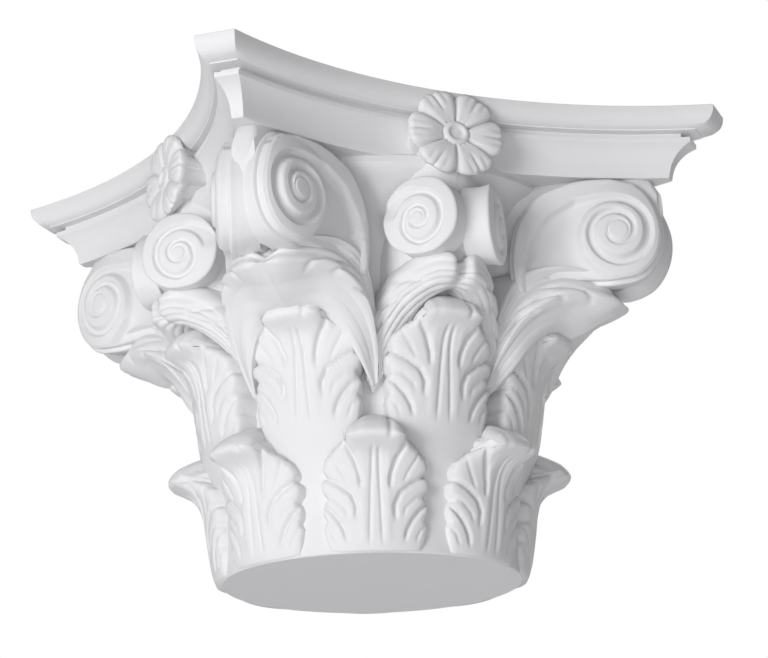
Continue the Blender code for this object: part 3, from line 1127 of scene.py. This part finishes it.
FACE_LEAVES = CalyxLeaves(
    "face_leaves", 0.0,
    curves=(
        ((128, 0, 170), (123, 9, 163), (114, 19, 150), (106, 26, 134),
         (99, 34, 116), (96, 40, 104)),
        ((142, 0, 167), (140, 8, 165), (131, 17, 160), (117, 28, 146),
         (105, 37, 126), (96.5, 41, 106)),
        ((149, 0, 172), (154, 7, 171), (146, 19, 169), (127, 34, 158),
         (109, 43, 134), (97, 42, 108)),
        ((149, 0, 180), (155, 7, 180), (145, 19, 181), (128, 35, 170),
         (109, 46, 143), (96.5, 43, 110)),
    ),
    lip=((142, 0, 185), (147, 8, 187.5), (136, 20, 189.5), (120, 34, 178),
         (105, 45, 149), (96, 44, 112)),
    sheath=((132, 0, 188), (134, 9, 190), (123, 20, 192), (108, 33, 181),
            (98, 44, 152), (95, 45, 114)),
    folds=(((0.24, 0.66), (0.33, 0.86), (0.42, 1.02), (0.46, 1.2)),
           ((0.4, 0.62), (0.49, 0.84), (0.58, 1), (0.62, 1.2)),
           ((0.56, 0.62), (0.66, 0.84), (0.74, 1), (0.78, 1.2))),
    ribs=(6.0, 1.5), sheath_ribs=(3.0, 1.4), cleft=2.4, stem=0.0, reach=(72.0, 26.0),
    columns=60,
)
VOLUTES = Scroll(
    "volutes", (158.0, 112.5, 215.0), -27.0, Winding.TO_CORNER,
    ((-3.8, 37.6), (12, 34), (23, 21), (28.2, 2), (25, -15), (14, -27.5),
     (-3, -31.6), (-16, -30.5), (-34, -31), (-52, -38), (-66, -40),
     (-69.5, -25), (-69, -8.6), (-64.5, 8.2), (-53, 24.6), (-40.7, 31.2), (-23.4, 36.4)),
    inner=(33.0, 26.3, 21.0, 18.0, 18.6, 16.0, 11.8, 9.0, 8.4, 7.8),
    outer=(90.0, 90.0, 25.2, 22.4, 23.0, 20.2, 14.8, 11.2, 9.8, 8.4), first_mark=-0.5,
    eye_radius=7.0, dome=(5.0, 3.0), dome_radius=28.6, wall=2.3, groove_depth=5.4, rim=25.0,
    round_edge=1.4,
    rim_profile=((0.02, 0.4), (0.07, 0.5), (0.16, 0.3), (0.22, 0.4), (0.24, 2.4), (0.27, 3),
                 (0.33, 3.2), (0.39, 2.4), (0.46, 2.8), (0.58, 2), (0.76, 1.6), (1, 0.6)),
    neck=(31.0, 8.0), band=((-64, -60), (-62, -22), (-59, -8), (-53.5, 2.2),
                            (-45.4, 12.6), (-28.4, 22.5), (-10, 25.5), (0, 26)),
)
HELICES = Scroll(
    "helices", (149.9, 31.2, 207.9), 52.0, Winding.TO_MIDDLE,
    ((3, 29), (14, 25.5), (23.5, 14), (26.5, 0), (23, -12.5), (12, -21.5),
     (0, -23.4), (-12, -20.8), (-21.5, -12.5), (-25.5, 1), (-22.5, 15.5), (-11.5, 26.5)),
    inner=(17.4, 16.6, 15.0, 14.8, 8.8, 7.6, 6.0, 4.8, 4.4),
    outer=(30.0, 19.6, 18.0, 17.4, 11.4, 10.2, 8.4, 7.0, 6.0), first_mark=-0.25,
    eye_radius=4.6, dome=(3.4, 0.6), dome_radius=26.0, wall=1.5, groove_depth=3.0, rim=19.0,
    neck=(38.0, 3.0), round_edge=0.8, segments=132, rings=50, round_rings=44,
    rim_profile=((0.03, 0.25), (0.1, 0.1), (0.25, -0.5), (0.45, -0.9), (0.65, -0.8), (0.85, -0.3),
                 (0.97, 0)),
)


@dataclass(frozen=True)
class Lamp:
    """Square soft light, placed and sized in metres."""

    name: str
    place: Place
    size: float
    power: float

    def hang(self, target: Place) -> None:
        """Hangs the light and aims it.

        Args:
            target: Point that it's aimed at, in metres.
        """
        lamp = bpy.data.lights.new(self.name, "AREA")
        lamp.size = self.size
        lamp.energy = self.power
        light = bpy.data.objects.new(self.name, lamp)
        light.location = self.place
        aim = Vector(target) - light.location
        light.rotation_euler = aim.to_track_quat("-Z", "Y").to_euler()
        bpy.context.scene.collection.objects.link(light)


@dataclass
class Studio:
    """Pale floor, white surroundings, three soft lights and the camera.

    Places and sizes are in metres, angles in degrees, and the lens and sensor in millimetres.
    The heading turns clockwise from +Y, and the pitch tilts upwards.
    """

    floor_height: float = -0.62
    floor_size: float = 12.0
    floor_colour: Colour = (0.88, 0.88, 0.89, 1.0)
    floor_roughness: float = 0.9
    surround: float = 0.25
    lamps: tuple[Lamp, ...] = (
        Lamp("soft_box", (-2.2, -1.35, 0.0), 1.0, 35.0),
        Lamp("low_card", (-0.55, -1.35, -0.56), 0.7, 5.2),
        Lamp("back_box", (1.7, 1.6, 1.3), 1.4, 38.0),
    )
    target: Place = (0.0, 0.0, 0.15)
    camera_place: Place = (-0.7166, -1.5872, -0.3560)
    heading: float = 24.690
    pitch: float = 17.084
    roll: float = -1.328
    lens: float = 123.53
    sensor_width: float = 36.0

    def lay_floor(self) -> None:
        """Lays the pale floor."""
        bpy.ops.object.select_all(action="DESELECT")
        bpy.ops.mesh.primitive_plane_add(size=self.floor_size, location=(0, 0, self.floor_height))
        floor = bpy.context.active_object
        floor.name = "floor"
        paper = bpy.data.materials.new("floor_paper")
        paper.use_nodes = True
        shader = paper.node_tree.nodes["Principled BSDF"]
        shader.inputs["Base Color"].default_value = self.floor_colour
        shader.inputs["Roughness"].default_value = self.floor_roughness
        floor.data.materials.append(paper)

    def light_surroundings(self) -> None:
        """Makes the surroundings white to the camera and dimmer as a light."""
        world = bpy.data.worlds.new("surroundings")
        world.use_nodes = True
        nodes, links = world.node_tree.nodes, world.node_tree.links
        dim, white = nodes["Background"], nodes.new("ShaderNodeBackground")
        for light in (dim, white):
            light.inputs["Color"].default_value = (1.0, 1.0, 1.0, 1.0)
        dim.inputs["Strength"].default_value = self.surround
        seen, choice = nodes.new("ShaderNodeLightPath"), nodes.new("ShaderNodeMixShader")
        links.new(seen.outputs["Is Camera Ray"], choice.inputs["Fac"])
        links.new(dim.outputs["Background"], choice.inputs[1])
        links.new(white.outputs["Background"], choice.inputs[2])
        links.new(choice.outputs["Shader"], nodes["World Output"].inputs["Surface"])
        bpy.context.scene.world = world
        bpy.context.scene.view_settings.view_transform = "Standard"

    def set_camera(self) -> None:
        """Sets the camera in its place."""
        lens = bpy.data.cameras.new("camera")
        lens.lens = self.lens
        lens.sensor_width = self.sensor_width
        camera = bpy.data.objects.new("camera", lens)
        camera.matrix_world = (
            Matrix.Translation(self.camera_place)
            @ Matrix.Rotation(math.radians(-self.heading), 4, "Z")
            @ Matrix.Rotation(math.radians(90.0 + self.pitch), 4, "X")
            @ Matrix.Rotation(math.radians(self.roll), 4, "Z")
        )
        bpy.context.scene.collection.objects.link(camera)
        bpy.context.scene.camera = camera

    def build(self) -> None:
        """Sets up the floor, the surroundings, the lights and the camera."""
        self.lay_floor()
        self.light_surroundings()
        for lamp in self.lamps:
            lamp.hang(self.target)
        self.set_camera()


def dress(piece: bpy.types.Object, material: bpy.types.Material) -> None:
    """Finishes a piece: smooth shading, primer, and its place in the record.

    Args:
        piece: The piece.
        material: The primer.
    """
    select_only([piece])
    sharp = SHARP_ANGLES.get(piece.name, SHARP_ANGLE)
    bpy.ops.object.shade_smooth_by_angle(angle=math.radians(sharp))
    piece.data.materials.clear()
    piece.data.materials.append(material)
    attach(piece, "root")
    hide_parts(NODE)
    LOG.info("%s: %d faces", piece.name, len(piece.data.polygons))


def main() -> None:
    """Builds the pieces in order, dresses them, and sets up the studio."""
    logging.basicConfig(level=logging.INFO, format="%(message)s")
    Studio().build()
    primer = WhitePrimer().make()
    makers: list[Callable[[], bpy.types.Object]] = [
        Bell().build, Abacus().build, LOWER_LEAVES.build, UPPER_LEAVES.build,
        CORNER_LEAVES.build, FACE_LEAVES.build, CORNER_CORES.build, FACE_CORES.build,
        VOLUTES.build, HELICES.build, Flowers().build,
    ]
    for make in makers:
        dress(make(), primer)


if __name__ == "__main__":
    main()
